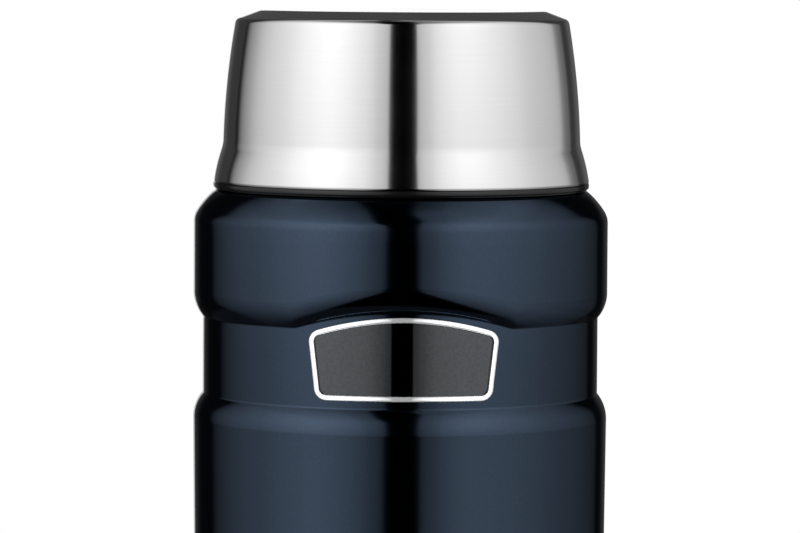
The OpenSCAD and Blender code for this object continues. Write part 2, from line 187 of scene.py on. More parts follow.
def skin(name, grid, closed_rows=True, caps=False):
    """A piece over a grid of points in millimetres, (row, column, xyz), whose columns close round."""
    rows, columns = grid.shape[:2]
    index = np.arange(rows * columns).reshape(rows, columns)
    below = index if closed_rows else index[:-1]
    above = np.roll(index, -1, axis=0) if closed_rows else index[1:]
    quads = np.stack([below, np.roll(below, -1, axis=1), np.roll(above, -1, axis=1), above], axis=-1)
    faces = quads.reshape(-1, 4).tolist()
    if caps:
        faces += [index[0].tolist(), index[-1].tolist()]
    mesh = bpy.data.meshes.new(name)
    mesh.from_pydata((grid.reshape(-1, 3) * MM).tolist(), [], faces)
    finish_mesh(mesh)
    piece = bpy.data.objects.new(name, mesh)
    bpy.context.scene.collection.objects.link(piece)
    return piece


def lathe(name, section, columns=COLUMNS, shape=None):
    """Turns a closed section round the axis. shape(radius, height, angle) may change the radius."""
    points = np.array(section, float)
    turn = np.linspace(0, 2 * math.pi, columns, endpoint=False)
    radius = np.repeat(points[:, :1], columns, axis=1)
    height = np.repeat(points[:, 1:], columns, axis=1)
    if shape:
        radius = shape(radius, height, turn[None, :])
    grid = np.stack([radius * np.cos(turn), radius * np.sin(turn), height], axis=-1)
    return skin(name, grid)


def thread(name, radius, low, pitch, turns, proud, width):
    """A thread's ridge wound round the axis, with both ends running out. It points inwards if proud < 0."""
    steps = int(turns * 72)
    t = np.linspace(0, 1, steps + 1)
    fade = np.clip(np.minimum(t, 1 - t) * turns * 6, 0, 1)
    fade = fade * fade * (3 - 2 * fade)
    side = np.radians(np.linspace(0, 180, 9))
    out = np.concatenate([np.sin(side) ** 0.7, [-0.5, -0.5]])
    up = np.concatenate([-np.cos(side), [0.9, -0.9]]) * width / 2
    ridge = np.outer(fade, np.clip(out, 0, 1)) * proud
    r = radius + ridge + np.minimum(out, 0) * math.copysign(0.6, proud)
    angle = 2 * math.pi * turns * t[:, None]
    z = low + pitch * turns * t[:, None] + up * (0.45 + 0.55 * fade[:, None])
    grid = np.stack([r * np.cos(angle), r * np.sin(angle), z], axis=-1)
    return skin(name, grid, closed_rows=False, caps=True)


def dress(piece, material, body, slot, *nodes):
    """Gives a new piece its finish and its body, and lets it stand for the nodes named."""
    piece.data.materials.append(material)
    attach(piece, body)
    if nodes:
        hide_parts(*nodes)
    print(f"{piece.name}: {len(piece.data.vertices)} points on {body}")
    return piece


print("one step round the axis is", 360 / COLUMNS, "degrees")

# %% [markdown]
# ## Node helpers
#
# Finishes are built from nodes, and a few one-line helpers keep them readable: `put` adds a node and wires
# or sets its inputs, and `calc` is a Math node. An effect that several finishes share becomes a node group
# with named sockets.

# %% Node helpers


def put(tree, kind, inputs=None, **settings):
    """Adds a node. inputs maps a socket's name or number to a value or to another node's output."""
    node = tree.nodes.new(kind)
    for name, value in settings.items():
        setattr(node, name, value)
    for name, value in (inputs or {}).items():
        if isinstance(value, bpy.types.NodeSocket):
            tree.links.new(value, node.inputs[name])
        else:
            node.inputs[name].default_value = value
    return node


def calc(tree, operation, a, b=0.0, c=0.0):
    """A Math node's result."""
    return put(tree, "ShaderNodeMath", {0: a, 1: b, 2: c}, operation=operation).outputs[0]


def ramp(tree, value, low, high, to_low=0.0, to_high=1.0, smooth=True):
    """value from low..high to to_low..to_high, held at both ends."""
    sockets = {"Value": value, "From Min": low, "From Max": high, "To Min": to_low, "To Max": to_high}
    kind = "SMOOTHSTEP" if smooth else "LINEAR"
    return put(tree, "ShaderNodeMapRange", sockets, interpolation_type=kind).outputs["Result"]


def new_group(name, inputs, outputs):
    """A node group with inputs {name: value} and the outputs named, all of them floats."""
    group = bpy.data.node_groups.new(name, "ShaderNodeTree")
    for socket, value in inputs.items():
        made = group.interface.new_socket(socket, in_out="INPUT", socket_type="NodeSocketFloat")
        made.default_value = value
    for socket in outputs:
        group.interface.new_socket(socket, in_out="OUTPUT", socket_type="NodeSocketFloat")
    print(f"group {name}: {list(inputs)} to {list(outputs)}")
    return group, group.nodes.new("NodeGroupInput"), group.nodes.new("NodeGroupOutput")


# %% [markdown]
# ## Hairlines round the axis
#
# The steel was brushed on a lathe, so its scratches run round the axis: level lines on the walls and rings
# on the flat faces. Noise whose coordinates hardly change along a scratch and change fast across it gives
# such lines. Height and radius are added for the "across" coordinate, so one group serves walls and discs.

# %% Group: hairlines


def make_hairlines():
    start = {"Lines per mm": 3.0, "Length": 25.0, "Contrast": 0.3}
    group, given, made = new_group("hairlines", start, ("Height", "Tone"))
    place = put(group, "ShaderNodeTexCoord").outputs["Object"]
    axes = put(group, "ShaderNodeSeparateXYZ", {0: place}).outputs
    squares = [calc(group, "POWER", axis, 2.0) for axis in axes[:2]]
    radius = calc(group, "SQRT", calc(group, "ADD", *squares))
    across = calc(group, "MULTIPLY", calc(group, "ADD", axes[2], radius), 1 / MM)
    across = calc(group, "MULTIPLY", across, given.outputs["Lines per mm"])
    along = calc(group, "DIVIDE", 1 / MM, given.outputs["Length"])
    level = [calc(group, "MULTIPLY", axis, along) for axis in axes[:2]]
    spot = put(group, "ShaderNodeCombineXYZ", {0: level[0], 1: level[1], 2: across}).outputs[0]
    fine = put(group, "ShaderNodeTexNoise", {"Vector": spot, "Scale": 1.0, "Detail": 3.0, "Roughness": 0.65})
    tone = calc(group, "SUBTRACT", fine.outputs["Fac"], 0.5)
    tone = calc(group, "MULTIPLY_ADD", tone, given.outputs["Contrast"], 1.0)
    group.links.new(fine.outputs["Fac"], made.inputs["Height"])
    group.links.new(tone, made.inputs["Tone"])
    return group


HAIRLINES = make_hairlines()

# %% [markdown]
# ## Handling marks
#
# Even a new jar isn't evenly smooth: polishing and hands leave faint cloudy patches where it shines a
# little less. A soft noise, kept within a few hundredths, moves the roughness of every finish.

# %% Group: clouds


def make_clouds():
    group, given, made = new_group("clouds", {"Size mm": 12.0, "Base": 0.3, "Spread": 0.05}, ("Value",))
    place = put(group, "ShaderNodeTexCoord").outputs["Object"]
    scale = calc(group, "DIVIDE", 1 / MM, given.outputs["Size mm"])
    noise = put(group, "ShaderNodeTexNoise", {"Vector": place, "Scale": scale, "Detail": 4.0})
    swing = calc(group, "SUBTRACT", noise.outputs["Fac"], 0.5)
    value = calc(group, "MULTIPLY_ADD", swing, given.outputs["Spread"], given.outputs["Base"])
    group.links.new(value, made.inputs["Value"])
    return group


CLOUDS = make_clouds()

# %% [markdown]
# ## Moulded grain
#
# The mould of a plastic part is spark-eroded, which leaves a fine even grain. It is far too small to model,
# so it is a bump: noise at about three grains per millimetre.

# %% Group: grain


def make_grain():
    group, given, made = new_group("grain", {"Size mm": 0.35}, ("Height",))
    place = put(group, "ShaderNodeTexCoord").outputs["Object"]
    scale = calc(group, "DIVIDE", 1 / MM, given.outputs["Size mm"])
    noise = put(group, "ShaderNodeTexNoise", {"Vector": place, "Scale": scale, "Detail": 2.0})
    group.links.new(noise.outputs["Fac"], made.inputs["Height"])
    return group


GRAIN = make_grain()

# %% [markdown]
# ## Placing the groups
#
# A material starts with a Principled BSDF and its constants. The groups are then placed in it with their
# own values, and only what changes over the surface is wired: the roughness, the colour and the bump.

# %% Material helpers


def new_material(name, **sockets):
    """A material whose Principled BSDF has these constants. Underscores stand for spaces."""
    material = bpy.data.materials.new(name)
    material.use_nodes = True
    surface = material.node_tree.nodes["Principled BSDF"]
    for socket, value in sockets.items():
        surface.inputs[socket.replace("_", " ")].default_value = value
    return material, material.node_tree, surface


def use(tree, group, **values):
    """Places a node group in a material. Underscores stand for spaces."""
    node = put(tree, "ShaderNodeGroup")
    node.node_tree = group
    for name, value in values.items():
        node.inputs[name.replace("_", " ")].default_value = value
    return node.outputs


def cloudy(tree, surface, base, spread, size=12.0):
    """Roughness that drifts a little over the surface."""
    value = use(tree, CLOUDS, Base=base, Spread=spread, Size_mm=size)["Value"]
    tree.links.new(value, surface.inputs["Roughness"])


def bumped(tree, surface, height, strength, depth_mm):
    """A fine relief on the surface."""
    bump = put(tree, "ShaderNodeBump", {"Height": height, "Strength": strength, "Distance": depth_mm * MM})
    tree.links.new(bump.outputs["Normal"], surface.inputs["Normal"])


def toned(tree, surface, colour, tone):
    """A colour made a little lighter and darker over the surface."""
    scaled = put(tree, "ShaderNodeVectorMath", {0: colour, "Scale": tone}, operation="SCALE")
    tree.links.new(scaled.outputs["Vector"], surface.inputs["Base Color"])


print("groups to place:", len(bpy.data.node_groups))

# %% [markdown]
# ## Brushed steel
#
# Stainless steel shows the studio as a soft grey-white mirror. Its colour is nearly neutral, the roughness
# is low enough to keep the dark gap between the two light panels readable, and hairlines vary both its
# tone and its relief. The lid, the liner and the base differ only in how coarse their lines are.

# %% Finish: steels


def steel(name, tone, roughness, lines, contrast, relief):
    material, tree, surface = new_material(name, Metallic=1.0)
    brushed = use(tree, HAIRLINES, Lines_per_mm=lines, Contrast=contrast)
    toned(tree, surface, tone, brushed["Tone"])
    cloudy(tree, surface, roughness, 0.06)
    bumped(tree, surface, brushed["Height"], relief, 0.02)
    return material


LID_STEEL = steel("lid_steel", (0.55, 0.554, 0.55), 0.075, 2.6, 0.05, 0.03)
LINER_STEEL = steel("liner_steel", (0.70, 0.705, 0.71), 0.24, 1.6, 0.22, 0.16)
BASE_STEEL = steel("base_steel", (0.66, 0.665, 0.67), 0.28, 2.0, 0.25, 0.18)
NECK_STEEL = steel("neck_steel", (0.74, 0.745, 0.75), 0.20, 2.0, 0.18, 0.12)
print("steels:", [m.name for m in (LID_STEEL, LINER_STEEL, BASE_STEEL, NECK_STEEL)])

# %% [markdown]
# ## Midnight blue lacquer
#
# The body's colour is a metallic lacquer: a dark blue metallic coat that mirrors the panels, tinted, under
# a clear coat that mirrors them again, untinted. Both layers are smooth, so the edge of a panel stays
# crisp. The flakes are only just visible, as a faint unevenness of the blue.

# %% Finish: lacquer
MIDNIGHT = (0.0365, 0.056, 0.0875)


def lacquer():
    paint = {"Metallic": 1.0, "Specular_Tint": (0.45, 0.45, 0.45, 1.0)}
    coat = {"Coat_Weight": 0.25, "Coat_Roughness": 0.03, "Coat_IOR": 1.4}
    material, tree, surface = new_material("midnight_lacquer", **paint, **coat)
    place = put(tree, "ShaderNodeTexCoord").outputs["Object"]
    flakes = put(tree, "ShaderNodeTexVoronoi", {"Vector": place, "Scale": 2200.0}).outputs["Distance"]
    toned(tree, surface, MIDNIGHT, ramp(tree, flakes, 0.0, 0.8, 0.93, 1.07, smooth=False))
    cloudy(tree, surface, 0.09, 0.02, 20.0)
    return material


LACQUER = lacquer()
print("lacquer:", LACQUER.name, MIDNIGHT)

# %% [markdown]
# ## Plastics, silicone and the small finishes
#
# The ring and the stopper are satin black plastic with a moulded grain. The gasket is milky silicone with
# a little light inside it. Foil, getter, adhesive and foam are hidden in the closed jar, but each still
# gets its own finish, because the model is also looked at piece by piece.

# %% Finish: plastics and small parts


def grained(name, colour, roughness, grain, relief, patches=(0.08, 8.0), depth=0.03, **sockets):
    """A finish with a fine grain, whose roughness drifts in patches of (spread, size)."""
    material, tree, surface = new_material(name, Base_Color=(*colour, 1.0), **sockets)
    cloudy(tree, surface, roughness, *patches)
    bumped(tree, surface, use(tree, GRAIN, Size_mm=grain)["Height"], relief, depth)
    return material


def metal(name, colour, roughness, grain, relief):
    return grained(name, colour, roughness, grain, relief, (0.10, 5.0), 0.05, Metallic=1.0)


SOFT = {"Subsurface_Weight": 0.25, "Subsurface_Scale": 0.002}
RING_BLACK = grained("ring_black", (0.005, 0.005, 0.0055), 0.16, 0.35, 0.08)
STOPPER_BLACK = grained("stopper_black", (0.022, 0.022, 0.024), 0.42, 0.30, 0.30)
ADHESIVE = grained("adhesive", (0.78, 0.76, 0.70), 0.70, 0.60, 0.40)
FOAM = grained("foam", (0.82, 0.78, 0.66), 0.85, 0.90, 0.80)
SILICONE = grained("silicone", (0.72, 0.71, 0.68), 0.38, 0.8, 0.10, (0.10, 6.0), **SOFT)
COPPER_FOIL = metal("copper_foil", (0.72, 0.42, 0.26), 0.30, 6.0, 0.60)
GETTER_METAL = metal("getter_metal", (0.22, 0.22, 0.23), 0.62, 0.25, 0.60)
BRAZE = metal("braze", (0.45, 0.44, 0.42), 0.40, 1.2, 0.50)
# Painted shade: a dark finish for the badge tray's cut edge and underside, in place of the shadow there.
BADGE_PAINTED_SHADE = metal("badge_painted_shade", (0.05, 0.052, 0.055), 0.35, 0.25, 0.20)
print("small finishes:", [m.name for m in (SILICONE, COPPER_FOIL, GETTER_METAL, BRAZE, BADGE_PAINTED_SHADE)])

# %% [markdown]
# ## The badge's finishes
#
# The rim is bright metal: part mirror, part fine satin, so it stays pale even where it faces the dark gap.
# The field inside it is a glossy near-black enamel that mirrors the panels as a dark grey. The tray's cut
# edge gets a dark finish, made above, that is painted shade: it stands in for the shadow in the corner
# between rim and brow, and keeps the brow from mirroring the edge as a bright line.

# %% Finish: badge


def badge_rim():
    material, tree, surface = new_material("badge_rim", Metallic=0.66, Base_Color=(0.92, 0.93, 0.94, 1.0))
    cloudy(tree, surface, 0.06, 0.03, 4.0)
    return material


def badge_field():
    material, tree, surface = new_material("badge_field", Metallic=1.0)
    place = put(tree, "ShaderNodeTexCoord").outputs["Object"]
    speck = put(tree, "ShaderNodeTexNoise", {"Vector": place, "Scale": 1800.0, "Detail": 2.0}).outputs["Fac"]
    toned(tree, surface, (0.0458, 0.0484, 0.051), ramp(tree, speck, 0.3, 0.7, 0.9, 1.1, smooth=False))
    cloudy(tree, surface, 0.045, 0.02, 6.0)
    return material


BADGE_RIM = badge_rim()
BADGE_FIELD = badge_field()
print("finishes:", len(bpy.data.materials))

# %% [markdown]
# ## The pressed body
#
# The body is one sheet: foot, wall, the rounded sill under the waist, the waist, the brow that flares out
# again over it, the shoulder and the bare neck. Over the badge the brow arches up. One profile makes it all
# round: a short steep taper that ends in a rounded edge. It is measured from the crease, a line that is
# level round the jar and swings up over the badge, so the edge keeps its form while its height changes.
# Modelled by hand, the arch would take many edge loops. As a formula it takes a few lines.

# %% Pressed depth of the waist


def soft_step(d, width):
    """0 below, d above, and a rounded corner between."""
    return np.where(d < -width, 0, np.where(d > width, d, (d + width) ** 2 / (4 * width)))


def brow(over):
    """Depth left at a height over the crease: a short taper that ends in a rounded edge."""
    straight = (WAIST_DEPTH - BROW_R * (1 - math.cos(BROW_SLOPE))) / math.tan(BROW_SLOPE)
    end = straight + BROW_R * math.sin(BROW_SLOPE)
    line = WAIST_DEPTH - soft_step(over, 0.12) * math.tan(BROW_SLOPE)
    edge = BROW_R - np.sqrt(np.maximum(BROW_R**2 - np.clip(end - over, 0, BROW_R) ** 2, 0))
    return np.where(over > straight, edge, line)


def crease(angle):
    """Height of the crease at an angle from the front: level, with a leaning arch over the badge."""
    arch = ARCH_RISE * (np.cos(angle) - math.cos(ARCH_HALF)) / (1 - math.cos(ARCH_HALF))
    return BROW_Z + soft_step(arch, 0.3)


def pressed(z, angle):
    """How far the wall is pressed in."""
    rise = np.clip(z - SILL_Z, 0, SILL_R)
    sill = SILL_R - np.sqrt(SILL_R**2 - rise**2)
    under_waist = WAIST_DEPTH - soft_step(WAIST_DEPTH - sill, 0.10)
    return np.where(z < (WAIST_Z + BROW_Z) / 2, under_waist, brow(z - crease(angle)))


print("pressed in at the waist:", float(pressed(np.array(104.0), np.array(0.0))), "mm")

# %% [markdown]
# ## The shoulder
#
# Three arcs run into each other without a corner: a tight one off the wall, a wide dome and a tight crown
# that ends level under the lid. Where two arcs meet, their centres lie on one line with the meeting point,
# so the second centre is found by walking from the first along that line.

# %% Shoulder


def further(centre, step, angle):
    """A point at a distance and an angle in degrees from another."""
    turn = math.radians(angle)
    return (centre[0] + step * math.cos(turn), centre[1] + step * math.sin(turn))


DOME_IN = body_r - CORNER_R - (DOME_R - CORNER_R) * math.cos(math.radians(DOME_START))
DOME_LOW = SHOULDER_TOP - CROWN_R - (DOME_R - CROWN_R) * math.sin(math.radians(DOME_END))
DOME = (DOME_IN, DOME_LOW)
CROWN = further(DOME, DOME_R - CROWN_R, DOME_END)
CORNER_Z = further(DOME, DOME_R - CORNER_R, DOME_START)[1]
print(f"the wall ends at {CORNER_Z:.1f}, the shoulder at {SHOULDER_TOP}")

# %% [markdown]
# ## The jar's skin
#
# The columns stand closer together over the badge, where the arch needs them, and the rows between waist
# and shoulder follow the crease, so that a row of points lies along it. The inside is the same skin moved
# in by the sheet's thickness. The neck is the same sheet left bare, so its faces get the steel.

# %% Body of the jar


def body_columns():
    """Angles from the front, close together round the badge."""
    half = math.radians(42)
    front = np.linspace(-half, half, 169)
    rear = np.linspace(half, 2 * math.pi - half, 113)
    return np.concatenate([front, rear[1:-1]])


def shoulder():
    """The shoulder's three arcs, from the wall in to the flat under the lid."""
    outer = arc((body_r - CORNER_R, CORNER_Z), CORNER_R, 0, DOME_START, 8)
    dome = arc(DOME, DOME_R, DOME_START, DOME_END, 10)
    return outer + dome[1:] + arc(CROWN, CROWN_R, DOME_END, 90, 12)[1:]


def body_rows(angle):
    """Radius and height of the outside, from the lip in the foot up to the rim, at one angle."""
    foot_in = BASE_R - FOOT_R - 2.2
    foot = [(foot_in, 2.4), (foot_in, 0.5), (foot_in + 0.5, 0.0)]
    foot += arc((BASE_R - FOOT_R, FOOT_R), FOOT_R, -90, 0, 14)
    fold = float(crease(np.array(angle)))
    wall_z = np.concatenate(
        [
            np.linspace(12, 86, 8),
            np.linspace(SILL_Z - 0.1, WAIST_Z + 0.6, 36),
            np.linspace(WAIST_Z + 2.0, fold - 1.2, 6),
            np.linspace(fold - 0.8, fold + 6.4, 62),
            np.linspace(fold + 8, CORNER_Z, 5)[:-1],
        ]
    )
    swell = np.clip((wall_z - FOOT_R) / (SILL_Z - FOOT_R), 0, 1)
    wall_r = BASE_R + (body_r - BASE_R) * swell - pressed(wall_z, np.array(angle))
    neck = fillet((CROWN[0], SHOULDER_TOP), (NECK_R, SHOULDER_TOP), (NECK_R, rim_z), 1.2)
    neck += [(NECK_R, z) for z in np.linspace(SHOULDER_TOP + 2.5, rim_z, 5)]
    return foot + list(zip(wall_r, wall_z)) + shoulder() + neck


def body():
    columns = body_columns()
    sections = [sheet_of(body_rows(a), SHEET) for a in columns]
    section = np.array(sections, float).transpose(1, 0, 2)
    turn = columns - math.pi / 2
    radius, height = section[..., 0], section[..., 1]
    return skin("jar_body", np.stack([radius * np.cos(turn), radius * np.sin(turn), height], axis=-1))


jar_body = dress(body(), LACQUER, "jar", "painted_shell", "outer_shell")
jar_body.data.materials.append(NECK_STEEL)
bare_from = (SHOULDER_TOP - 0.1) * MM
for face in jar_body.data.polygons:
    in_reach = math.hypot(face.center.x, face.center.y) < (NECK_R + 1.0) * MM
    face.material_index = int(face.center.z > bare_from and in_reach)

# %% [markdown]
# ## Threads
#
# The neck carries two threads, one outside for the lid and one inside for the stopper, and the lid's ring
# and the stopper's plug carry the mating ones. They are short rolled ridges whose ends run out into the
# wall. Each ridge leaves a little room to its partner, so nothing touches while a joint turns or lifts.

# %% Threads
MOUTH_R = 35.9
PLUG_R = 34.2
RING_IN = 39.6
for name, radius, low, turns, proud, body_name, slot, finish in (
    ("neck_thread", NECK_R, 147.6, 1.55, 0.75, "jar", "painted_shell", NECK_STEEL),
    ("mouth_thread", MOUTH_R, 148.4, 1.35, -0.65, "jar", "liner_steel", LINER_STEEL),
    ("plug_thread", PLUG_R, 148.8, 1.45, 0.65, "stopper", "stopper_plastic", STOPPER_BLACK),
    ("ring_thread", RING_IN, 147.0, 1.35, -0.7, "lid", "ring_plastic", RING_BLACK),
):
    dress(thread(name, radius, low, 4.5, turns, proud, 2.2), finish, body_name, slot)

# %% [markdown]
# ## The lid
#
# The lid's steel is a deep-drawn cup, upside down: a short hem, a flare that widens over the shoulder, a
# wall that leans in and bulges by half a millimetre, a bevel and a flat top. The bulge is small, but it is
# what bends the reflections of the panels, so the wall has many rows. The kink between flare and wall is a
# Bezier curve of second degree, whose middle point is the sharp corner it replaces.

# %% Lid shell
LID_R = 41.9
LID_TOP_R = 39.0
LID_FLAT_R = 33.5
KINK_Z = lid_z + 10.1
KINK_SOFT = 1.2
BEVEL_Z = lid_top - 2.1


def lid_wall(z):
    return bulged((LID_R, KINK_Z), (LID_TOP_R, BEVEL_Z), 0.55, z)


def lid_flare(z):
    return bulged((ring_r + 0.03, hem_z), (LID_R, KINK_Z), 0.24, z)


def lid_path():
    """Outside of the lid, from the hem up to the axis."""
    low, high = KINK_Z - KINK_SOFT, KINK_Z + KINK_SOFT
    edge_r = lid_flare(hem_z + 0.4)
    path = [(edge_r - 0.3, hem_z), (edge_r - 0.08, hem_z + 0.1), (edge_r, hem_z + 0.38)]
    path += [(lid_flare(z), z) for z in np.linspace(hem_z + 0.8, low, 6)]
    a, b = np.array((lid_flare(low), low)), np.array((lid_wall(high), high))
    middle = np.array((LID_R, KINK_Z))
    for t in np.linspace(0, 1, 14)[1:-1]:
        path.append(tuple((1 - t) ** 2 * a + 2 * t * (1 - t) * middle + t * t * b))
    path += [(lid_wall(z), z) for z in np.linspace(high, BEVEL_Z - 2, 24)]
    path += fillet((lid_wall(BEVEL_Z - 2), BEVEL_Z - 2), (LID_TOP_R, BEVEL_Z), (LID_FLAT_R, lid_top), 1.6)
    path += fillet((LID_TOP_R, BEVEL_Z), (LID_FLAT_R, lid_top), (0, lid_top), 2.5)
    return path + [(20, lid_top), (0, lid_top)]


lid_shell = dress(lathe("lid_cup", sheet_of(lid_path(), SHEET)), LID_STEEL, "lid", "lid_steel", "lid_shell")

# %% [markdown]
# ## The ring under the lid
#
# The ring is moulded plastic, pressed into the lid's hem. Its bottom follows the shoulder's curve with
# 0.3 mm of air, which shows as the black line under the lid. Behind its visible band it runs up inside the
# hem and carries the threaded wall.

# %% Ring
RING_AIR = 0.3
RING_ROUND = 0.5
INSIDE_HEM = SHEET + 0.3


def over_shoulder(r):
    """Height of the shoulder under the ring, at radius r."""
    return CROWN[1] + math.sqrt(CROWN_R**2 - max(r - CROWN[0], 0) ** 2)


def ring_section():
    flat_r = ring_r - RING_ROUND
    section = [(r, over_shoulder(r) + RING_AIR) for r in np.linspace(RING_IN, flat_r, 8)]
    section += fillet((RING_IN, lid_z), (ring_r, lid_z), (ring_r, hem_z), RING_ROUND)[1:]
    section += fillet((ring_r, lid_z), (ring_r, hem_z), (RING_IN, hem_z), 0.3, 4)
    section += [(lid_flare(max(z, hem_z + 0.6)) - INSIDE_HEM, z) for z in np.linspace(hem_z, KINK_Z, 5)]
    section += [(lid_wall(ring_top) - INSIDE_HEM, ring_top), (RING_IN, ring_top)]
    return section


dress(lathe("lid_band", ring_section()), RING_BLACK, "lid", "ring_plastic", "lid_ring")

# %% [markdown]
# ## The badge
#
# The badge is a shallow tray of bright metal, bent round the waist, with a dark field laid in it. Its
# outline has an arched top, sides that lean in and small round corners. It is drawn flat, as seen from the
# front, and then wrapped: a point's distance from the middle gives its place on the cylinder.

# %% Badge outline
BADGE_W = 43.0
BADGE_ARCH = 64.0
BADGE_ROUND = 2.8
BADGE_LEAN = 1.2
BADGE_RIM_W = 1.1
BADGE_SAG = 0.55
_, plate_low, BADGE_TOP = reach("badge_plate")
BADGE_LOW = plate_low - BADGE_SAG


def badge_outline(inset):
    half = BADGE_W / 2 - BADGE_ROUND
    low = BADGE_LOW + BADGE_ROUND
    eye = BADGE_TOP - BADGE_ARCH
    high = eye + math.sqrt((BADGE_ARCH - BADGE_ROUND) ** 2 - half**2)
    foot = half - BADGE_LEAN
    lean = math.degrees(math.atan(BADGE_LEAN / (high - low)))
    turn = math.degrees(math.atan2(high - eye, half))
    r = BADGE_ROUND - inset
    bottom = [(x, BADGE_LOW + inset) for x in np.linspace(-foot, foot, 32)[1:-1]]
    right = np.linspace((foot + r * math.cos(math.radians(lean)), low), (half + r, high), 8)[1:-1]
    points = arc((-foot, low), r, 180 + lean, 270, 8) + bottom + arc((foot, low), r, 270, 360 - lean, 8)
    points += [tuple(p) for p in right]
    points += arc((half, high), r, -lean, turn, 8)
    points += arc((0, eye), BADGE_ARCH - inset, turn, 180 - turn, 48)[1:-1]
    points += arc((-half, high), r, 180 - turn, 180 + lean, 8)
    points += [(-x, z) for x, z in right[::-1]]
    return np.array(points)


print("badge:", BADGE_W, "wide and", round(BADGE_TOP - BADGE_LOW, 1), "high")

# %% [markdown]
# ## The badge's skin
#
# Rings of the outline at growing insets and heights make the tray's edge and its rim, and rings drawn in
# towards a centre line fill the top and the underside. So the whole badge is a grid, like the body.

# %% Badge helpers
FILL_RINGS = 12


def wrapped(flat, height):
    """Flat points bent round the waist, at a height over its surface."""
    r = WAIST_R + height
    return np.stack([flat[:, 0], -np.sqrt(r**2 - flat[:, 0] ** 2), flat[:, 1]], axis=-1)


def towards_middle(flat, share):
    """The outline drawn in towards the badge's centre line."""
    middle = np.array([flat[:, 0] * 0.72, np.full(len(flat), (BADGE_TOP + BADGE_LOW) / 2)]).T
    return flat + (middle - flat) * share


def layer(name, rings, floor, top):
    """A thin bent piece: rings of (inset, height) up its edge, filled over the top and underneath."""
    edge = [wrapped(badge_outline(inset), height) for inset, height in rings]
    shares = np.linspace(0, 1, FILL_RINGS + 1)
    last = badge_outline(rings[-1][0])
    over = [wrapped(towards_middle(last, s), top) for s in shares[1:]]
    first = badge_outline(rings[0][0])
    under = [wrapped(towards_middle(first, s), floor) for s in shares[1:]][::-1]
    return skin(name, np.array(under + edge + over), closed_rows=False)


# %% [markdown]
# The heights are over the waist's surface. The plate starts above its adhesive, the tray's floor lies under
# the field, and the rim stands a little proud of it with rounded lips. The first rows of faces are the
# underside and the cut edge, which get the dark finish: painted shade, where the brow shades the edge.

# %% Badge tray and field
PLATE_LOW = 0.3
TRAY = 0.8
RIM = 1.1
FIELD_TOP = RIM - 0.07
outer_edge = [(0.15, PLATE_LOW), (0.0, PLATE_LOW + 0.15), (0.0, RIM - 0.16)]
rim_top = [(0.05, RIM - 0.05), (0.16, RIM), (BADGE_RIM_W - 0.15, RIM), (BADGE_RIM_W - 0.03, RIM - 0.06)]
inner_edge = [(BADGE_RIM_W, RIM - 0.2), (BADGE_RIM_W, TRAY)]
tray = layer("badge_tray", outer_edge + rim_top + inner_edge, PLATE_LOW, TRAY)
badge_tray = dress(tray, BADGE_RIM, "jar", "badge_metal", "badge_plate")
# The cut edge and underside take the dark painted-shade finish as the tray's second material.
badge_tray.data.materials.append(BADGE_PAINTED_SHADE)
rows_to_edge = FILL_RINGS + len(outer_edge) - 1
for face in badge_tray.data.polygons[: rows_to_edge * len(badge_outline(0.0))]:
    face.material_index = 1
field_in = BADGE_RIM_W + 0.05
field_rings = [(field_in, TRAY + 0.05), (field_in, FIELD_TOP - 0.05), (field_in + 0.07, FIELD_TOP)]
field = layer("badge_face", field_rings, TRAY + 0.05, FIELD_TOP)
badge_face = dress(field, BADGE_FIELD, "jar", "badge_field", "badge_inlay")

# %% [markdown]
# ## The stopper's grip
#
# The grip is a hollow cap with finger flutes all round and a dished top. The flutes are pressed into the
# lathe section: near a flute's centre line the radius shrinks as a cylinder laid against the wall would
# cut it. Two raised rings on the dish stiffen it, as such mouldings have.

# %% Stopper grip
FLUTES = 28
FLUTE_R = 2.2
FLUTE_DEPTH = 0.9
grip_r, grip_low, grip_top = reach("stopper_cover")


def fluted(radius, height, turn):
    """Shrinks the outer wall at each flute."""
    step = 2 * math.pi / FLUTES
    off = (turn + step / 2) % step - step / 2
    across = grip_r * off
    cut = FLUTE_DEPTH - FLUTE_R + np.sqrt(np.maximum(FLUTE_R**2 - across**2, 0))
    cut = soft_step(cut, 0.12)
    on_wall = np.clip((radius - (grip_r - 2.6)) / 0.8, 0, 1)
    return radius - cut * on_wall


def grip_section():
    lean = 0.9
    dish_z = grip_top - 0.8
    wall = 2.2
    dish_r = grip_r - lean - 6
    section = [(grip_r, z) for z in (grip_low, grip_low + 0.4)]
    section += [(grip_r - lean * k, grip_low + (grip_top - grip_low) * k) for k in np.linspace(0.1, 0.75, 6)]
    section += fillet((grip_r - lean * 0.8, grip_top - 2.6), (grip_r - lean, grip_top), (0, grip_top), 1.6)
    section += fillet((grip_r, grip_top), (dish_r, grip_top), (dish_r - 1.5, dish_z), 0.5, 4)
    section += fillet((dish_r, grip_top), (dish_r - 1.5, dish_z), (0, dish_z), 0.5, 4)
    rib_shape = ((0.7, 0), (0.5, 0.3), (-0.5, 0.3), (-0.7, 0))
    for rib_r in (20.0, 11.0):
        section += [(rib_r + across, dish_z + up) for across, up in rib_shape]
    section += [(0, dish_z), (0, dish_z - wall)]
    inner = grip_r - FLUTE_DEPTH - wall
    return section + [(inner - lean, dish_z - wall), (inner, grip_low)]


grip = lathe("stopper_grip", grip_section(), columns=FLUTES * 16, shape=fluted)
dress(grip, STOPPER_BLACK, "stopper", "stopper_plastic", "stopper_cover")

# %% [markdown]
# ## The pieces that stay as built
#
# The other pieces keep the construction's own exact meshes and only get their finishes.

